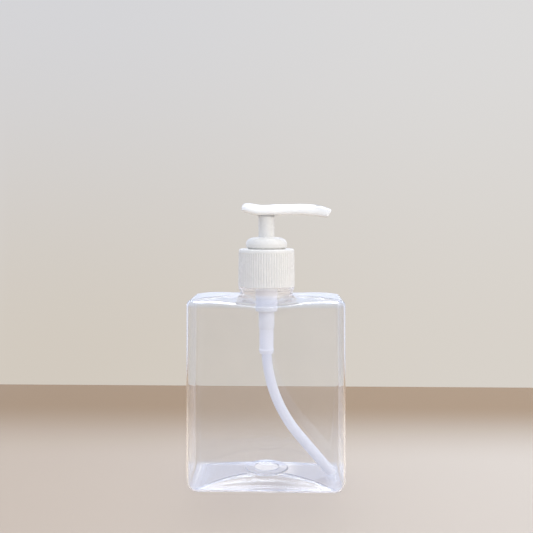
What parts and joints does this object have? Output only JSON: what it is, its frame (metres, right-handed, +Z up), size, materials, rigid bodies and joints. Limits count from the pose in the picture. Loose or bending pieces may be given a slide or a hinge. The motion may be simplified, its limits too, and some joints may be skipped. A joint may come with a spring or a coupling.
{
  "type": "soap pump dispenser bottle",
  "caption": "Clear flat-sided dispenser bottle with a ribbed screw closure, domed collar and a press-down pump head with a curved side spout",
  "frame": {"origin": "on the surface it stands on, under the pump's upright axis", "axes": "+X the way the spout points, -Y the wide front face, +Z up along the pump's axis"},
  "size_m": [0.0852, 0.043, 0.1533],
  "materials": {
    "clear_plastic": "clear, thin blown wall",
    "white_plastic": "moulded, soft gloss",
    "natural_plastic": "unpigmented, translucent",
    "soft_plastic": "unpigmented, soft",
    "gasket_foam": "closed-cell foam",
    "spring_steel": "drawn stainless wire",
    "ball_steel": "polished stainless"
  },
  "bodies": {
    "bottle": {"bottle": "clear_plastic"},
    "pump": {"pump_housing": "natural_plastic", "gasket": "gasket_foam", "lock_collar": "white_plastic", "dip_tube": "natural_plastic", "ball_cage": "soft_plastic", "return_spring": "spring_steel"},
    "closure": {"closure": "white_plastic"},
    "plunger": {"stem": "white_plastic", "stem_plug": "white_plastic"},
    "head": {"actuator": "white_plastic"},
    "piston": {"piston": "soft_plastic"},
    "valve_ball": {"inlet_ball": "ball_steel"}
  },
  "joints": [
    {"name": "pump_lift", "type": "slide", "parent": "bottle", "child": "pump", "axis": [0, 0, 1], "range_m": [0, 0.00635]},
    {"name": "closure_turn", "type": "hinge", "parent": "pump", "child": "closure", "pos_m": [0, 0, 0.107], "axis": [0, 0, 1], "range_deg": [0, 540]},
    {"name": "pump_stroke", "type": "slide", "parent": "pump", "child": "plunger", "axis": [0, 0, -1], "range_m": [0, 0.0113], "stiffness_N_per_m": 700, "springref_m": -0.01, "deforming": ["return_spring"]},
    {"name": "head_swivel", "type": "hinge", "parent": "plunger", "child": "head", "pos_m": [0, 0, 0.14], "axis": [0, 0, 1], "continuous": true},
    {"name": "piston_float", "type": "slide", "parent": "plunger", "child": "piston", "axis": [0, 0, 1], "range_m": [0, 0.0012]},
    {"name": "ball_lift", "type": "slide", "parent": "pump", "child": "valve_ball", "axis": [0, 0, 1], "range_m": [0, 0.0015]}
  ],
  "couplings": [
    {"joint": "pump_lift", "follows": "closure_turn", "m_per_rad": 0.00067323}
  ]
}
